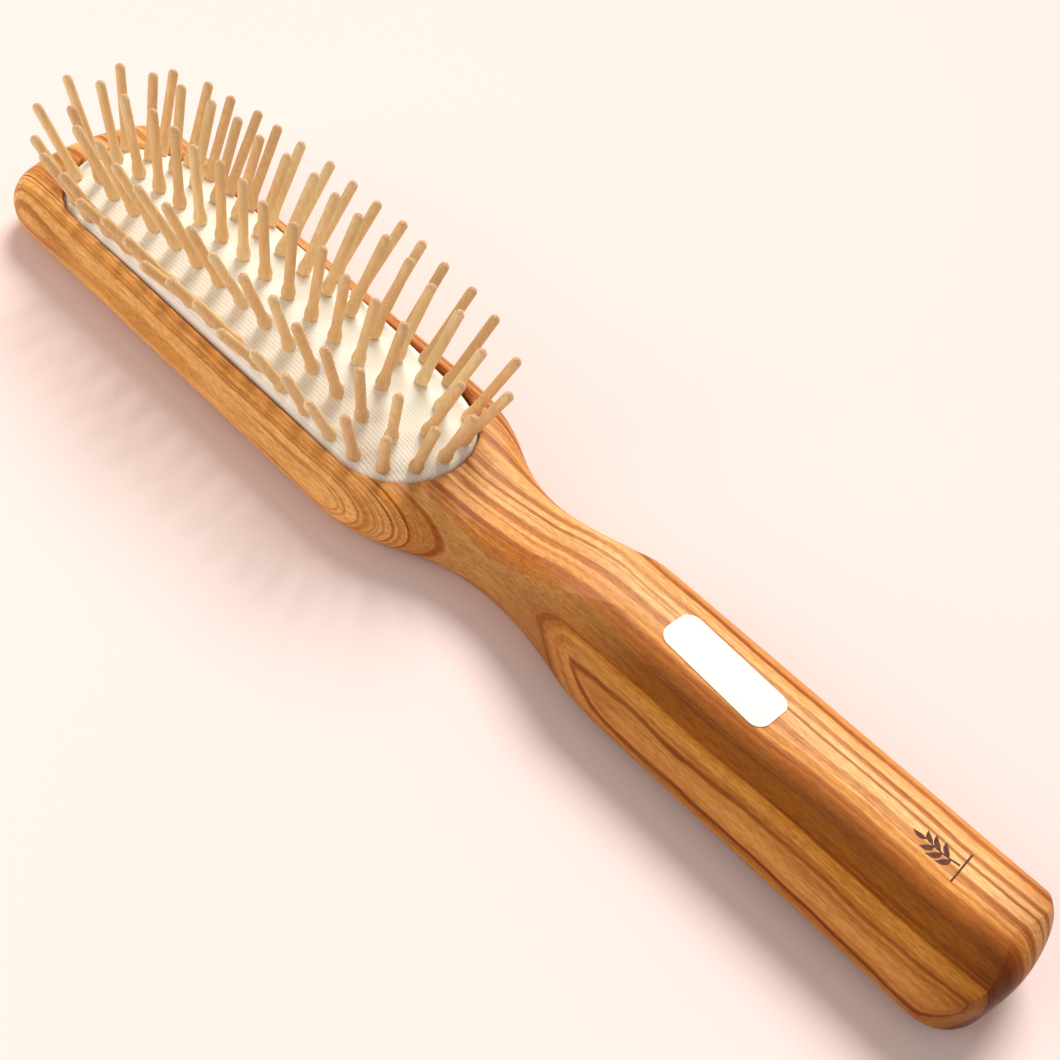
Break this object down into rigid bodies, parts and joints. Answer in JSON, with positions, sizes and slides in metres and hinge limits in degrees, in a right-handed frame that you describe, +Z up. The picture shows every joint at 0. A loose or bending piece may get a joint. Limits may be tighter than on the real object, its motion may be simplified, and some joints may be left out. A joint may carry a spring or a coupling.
{
  "type": "paddle hair brush",
  "caption": "Slim wooden paddle hair brush: solid olive-wood handle and head, domed rubber air cushion, and rows of rounded wooden pins that lean and give.",
  "frame": {"origin": "middle of the footprint, on the flat back of the brush", "axes": "+X from the handle to the tip of the head, +Y to the left side, +Z up through the pins"},
  "size_m": [0.225, 0.0438, 0.0344],
  "materials": {
    "olive_wood": "oiled satin",
    "pin_wood": "waxed",
    "cushion_rubber": "matt, finely ribbed",
    "label_paper": "blank coated paper"
  },
  "bodies": {
    "handle_and_head": {"brush_body": "olive_wood", "label_sticker": "label_paper"},
    "cushion": {"cushion_membrane": "cushion_rubber"},
    "centre_row": {"pin_centre_01": "pin_wood", "pin_centre_02": "pin_wood", "pin_centre_03": "pin_wood", "pin_centre_04": "pin_wood", "pin_centre_05": "pin_wood", "pin_centre_06": "pin_wood", "pin_centre_07": "pin_wood", "pin_centre_08": "pin_wood", "pin_centre_09": "pin_wood", "pin_centre_10": "pin_wood", "pin_centre_11": "pin_wood", "pin_centre_12": "pin_wood"},
    "mid_row_left": {"pin_mid_03": "pin_wood", "pin_mid_04": "pin_wood", "pin_mid_05": "pin_wood", "pin_mid_06": "pin_wood", "pin_mid_07": "pin_wood", "pin_mid_08": "pin_wood", "pin_mid_09": "pin_wood", "pin_mid_10": "pin_wood", "pin_mid_11": "pin_wood", "pin_mid_12": "pin_wood", "pin_mid_13": "pin_wood", "pin_mid_14": "pin_wood"},
    "mid_row_right": {"pin_mid_18": "pin_wood", "pin_mid_19": "pin_wood", "pin_mid_20": "pin_wood", "pin_mid_21": "pin_wood", "pin_mid_22": "pin_wood", "pin_mid_23": "pin_wood", "pin_mid_24": "pin_wood", "pin_mid_25": "pin_wood", "pin_mid_26": "pin_wood", "pin_mid_27": "pin_wood", "pin_mid_28": "pin_wood", "pin_mid_29": "pin_wood"},
    "outer_row_left": {"pins_outer_left_1": "pin_wood", "pins_outer_left_2": "pin_wood", "pins_outer_left_3": "pin_wood", "pins_outer_left_4": "pin_wood"},
    "outer_row_right": {"pins_outer_right_1": "pin_wood", "pins_outer_right_2": "pin_wood", "pins_outer_right_3": "pin_wood", "pins_outer_right_4": "pin_wood"},
    "heel_pins": {"pin_mid_30": "pin_wood", "pin_mid_01": "pin_wood", "pin_mid_02": "pin_wood", "pins_outer_heel_1": "pin_wood", "pins_outer_heel_2": "pin_wood"},
    "tip_pins": {"pin_mid_15": "pin_wood", "pin_mid_16": "pin_wood", "pin_mid_17": "pin_wood", "pins_outer_tip_1": "pin_wood", "pins_outer_tip_2": "pin_wood"}
  },
  "joints": [
    {"name": "cushion_press", "type": "slide", "parent": "handle_and_head", "child": "cushion", "axis": [0, 0, -1], "range_m": [0, 0.002], "stiffness_N_per_m": 4000, "deforming": ["cushion_membrane"]},
    {"name": "centre_row_lean", "type": "hinge", "parent": "cushion", "child": "centre_row", "pos_m": [0.0557, 0, 0.016], "axis": [1, 0, 0], "range_deg": [-8, 8], "stiffness_Nm_per_rad": 0.7},
    {"name": "mid_row_left_lean", "type": "hinge", "parent": "cushion", "child": "mid_row_left", "pos_m": [0.0536, 0.0066, 0.0153], "axis": [1, 0, 0], "range_deg": [-8, 8], "stiffness_Nm_per_rad": 0.7},
    {"name": "mid_row_right_lean", "type": "hinge", "parent": "cushion", "child": "mid_row_right", "pos_m": [0.0536, -0.0066, 0.0153], "axis": [1, 0, 0], "range_deg": [-8, 8], "stiffness_Nm_per_rad": 0.7},
    {"name": "outer_row_left_lean", "type": "hinge", "parent": "cushion", "child": "outer_row_left", "pos_m": [0.0536, 0.0119, 0.0125], "axis": [1, 0, 0], "range_deg": [-8, 8], "stiffness_Nm_per_rad": 0.7},
    {"name": "outer_row_right_lean", "type": "hinge", "parent": "cushion", "child": "outer_row_right", "pos_m": [0.0536, -0.0119, 0.0125], "axis": [1, 0, 0], "range_deg": [-8, 8], "stiffness_Nm_per_rad": 0.7},
    {"name": "heel_pins_lean", "type": "hinge", "parent": "cushion", "child": "heel_pins", "pos_m": [0.0085, 0, 0.0115], "axis": [0, 1, 0], "range_deg": [-5, 5], "stiffness_Nm_per_rad": 0.5},
    {"name": "tip_pins_lean", "type": "hinge", "parent": "cushion", "child": "tip_pins", "pos_m": [0.0985, 0, 0.0115], "axis": [0, 1, 0], "range_deg": [-5, 5], "stiffness_Nm_per_rad": 0.5}
  ]
}
